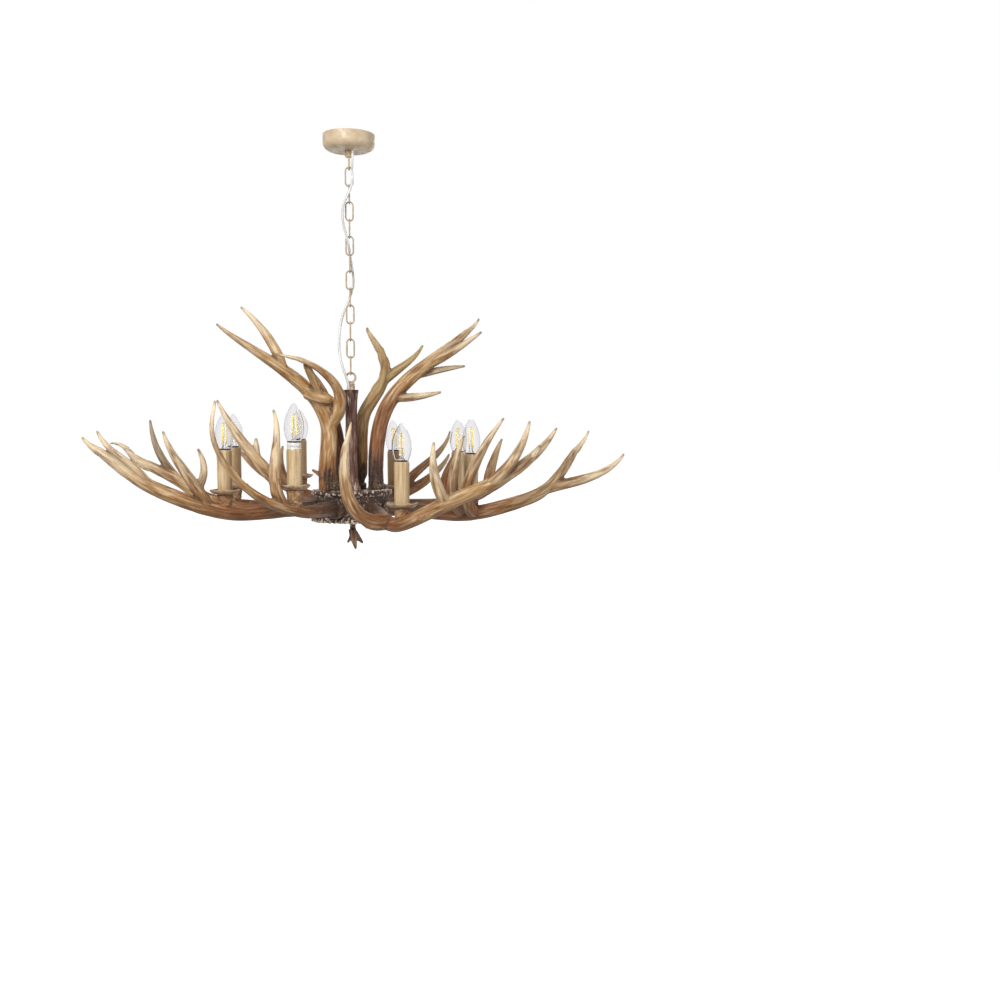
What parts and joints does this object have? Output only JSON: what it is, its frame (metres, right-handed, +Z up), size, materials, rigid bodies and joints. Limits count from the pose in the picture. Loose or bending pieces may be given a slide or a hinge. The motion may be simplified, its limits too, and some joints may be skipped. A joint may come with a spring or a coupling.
{
  "type": "antler chandelier",
  "caption": "Hanging chandelier of branching antlers round a hub, with candle lights on drip cups, hung on a link chain with a supply cord from a ceiling canopy.",
  "frame": {"origin": "on the ceiling plane, midway between the bracket's two screw holes, on the axis of the canopy and the chain", "axes": "+Z up, out of the ceiling face of the bracket; -Y to the front as pictured; +X to the right"},
  "size_m": [1.0069, 0.6112, 0.8014],
  "materials": {
    "antler_resin": "satin, painted like antler",
    "bark_resin": "dark, painted like bark",
    "burr_resin": "rough, painted like an antler burr",
    "antique_metal": "antique cream gold",
    "steel": "zinc plated",
    "sleeve_card": "candle sleeve with drips",
    "cup_resin": "antler brown",
    "holder_plastic": "white",
    "cord_pvc": "clear grey flex",
    "wire_pvc": "white lead",
    "connector_nylon": "natural",
    "bulb_glass": "clear",
    "bulb_metal": "screw cap"
  },
  "bodies": {
    "canopy": {"ceiling_canopy": "antique_metal", "ceiling_bracket": "steel", "canopy_loop": "antique_metal", "canopy_nipple": "steel", "canopy_nuts": "steel", "terminal_block": "connector_nylon"},
    "chain": {"chain_links_flat": "antique_metal", "chain_links_edge": "antique_metal", "supply_cord": "cord_pvc"},
    "fixture": {"fixture_loop": "antique_metal", "centre_tube": "steel", "tube_nuts": "antique_metal", "inner_lead": "wire_pvc", "centre_post": "bark_resin", "hub_shell": "burr_resin", "hub_cover": "burr_resin", "hub_connector": "connector_nylon", "bottom_finial": "bark_resin", "crown_studs": "steel", "stud_nuts": "steel", "arm_tubes": "steel", "lamp_flexes": "wire_pvc", "drip_cups": "cup_resin", "lampholders": "holder_plastic", "arm_antler_left_front": "antler_resin", "arm_antler_left_back": "antler_resin", "arm_antler_front_left": "antler_resin", "arm_antler_front_right": "antler_resin", "arm_antler_right_front": "antler_resin", "arm_antler_right_back": "antler_resin", "arm_antler_back_right": "antler_resin", "arm_antler_back_left": "antler_resin", "crown_antler_front_left": "antler_resin", "crown_antler_back_left": "antler_resin", "crown_antler_back_right": "antler_resin", "crown_antler_right": "antler_resin", "candle_sleeve_left_front": "sleeve_card", "candle_sleeve_left_back": "sleeve_card", "candle_sleeve_front_left": "sleeve_card", "candle_sleeve_front_right": "sleeve_card", "candle_sleeve_right_front": "sleeve_card", "candle_sleeve_right_back": "sleeve_card", "candle_sleeve_back_right": "sleeve_card", "candle_sleeve_back_left": "sleeve_card"},
    "bulb_left_front": {"bulb_glass_left_front": "bulb_glass", "bulb_core_left_front": "bulb_metal"},
    "bulb_left_back": {"bulb_glass_left_back": "bulb_glass", "bulb_core_left_back": "bulb_metal"},
    "bulb_front_left": {"bulb_glass_front_left": "bulb_glass", "bulb_core_front_left": "bulb_metal"},
    "bulb_front_right": {"bulb_glass_front_right": "bulb_glass", "bulb_core_front_right": "bulb_metal"},
    "bulb_right_front": {"bulb_glass_right_front": "bulb_glass", "bulb_core_right_front": "bulb_metal"},
    "bulb_right_back": {"bulb_glass_right_back": "bulb_glass", "bulb_core_right_back": "bulb_metal"},
    "bulb_back_right": {"bulb_glass_back_right": "bulb_glass", "bulb_core_back_right": "bulb_metal"},
    "bulb_back_left": {"bulb_glass_back_left": "bulb_glass", "bulb_core_back_left": "bulb_metal"}
  },
  "joints": [
    {"name": "chain_swing", "type": "hinge", "parent": "canopy", "child": "chain", "pos_m": [0, 0, -0.0651], "axis": [0, 1, 0], "range_deg": [-20, 20], "deforming": ["supply_cord"]},
    {"name": "fixture_swing", "type": "hinge", "parent": "chain", "child": "fixture", "pos_m": [0, 0, -0.4558], "axis": [1, 0, 0], "range_deg": [-12, 12], "deforming": ["supply_cord"]},
    {"name": "bulb_out_left_front", "type": "slide", "parent": "fixture", "child": "bulb_left_front", "axis": [0, 0, 1], "range_m": [0, 0.028]},
    {"name": "bulb_out_left_back", "type": "slide", "parent": "fixture", "child": "bulb_left_back", "axis": [0, 0, 1], "range_m": [0, 0.028]},
    {"name": "bulb_out_front_left", "type": "slide", "parent": "fixture", "child": "bulb_front_left", "axis": [0, 0, 1], "range_m": [0, 0.028]},
    {"name": "bulb_out_front_right", "type": "slide", "parent": "fixture", "child": "bulb_front_right", "axis": [0, 0, 1], "range_m": [0, 0.028]},
    {"name": "bulb_out_right_front", "type": "slide", "parent": "fixture", "child": "bulb_right_front", "axis": [0, 0, 1], "range_m": [0, 0.028]},
    {"name": "bulb_out_right_back", "type": "slide", "parent": "fixture", "child": "bulb_right_back", "axis": [0, 0, 1], "range_m": [0, 0.028]},
    {"name": "bulb_out_back_right", "type": "slide", "parent": "fixture", "child": "bulb_back_right", "axis": [0, 0, 1], "range_m": [0, 0.028]},
    {"name": "bulb_out_back_left", "type": "slide", "parent": "fixture", "child": "bulb_back_left", "axis": [0, 0, 1], "range_m": [0, 0.028]}
  ]
}
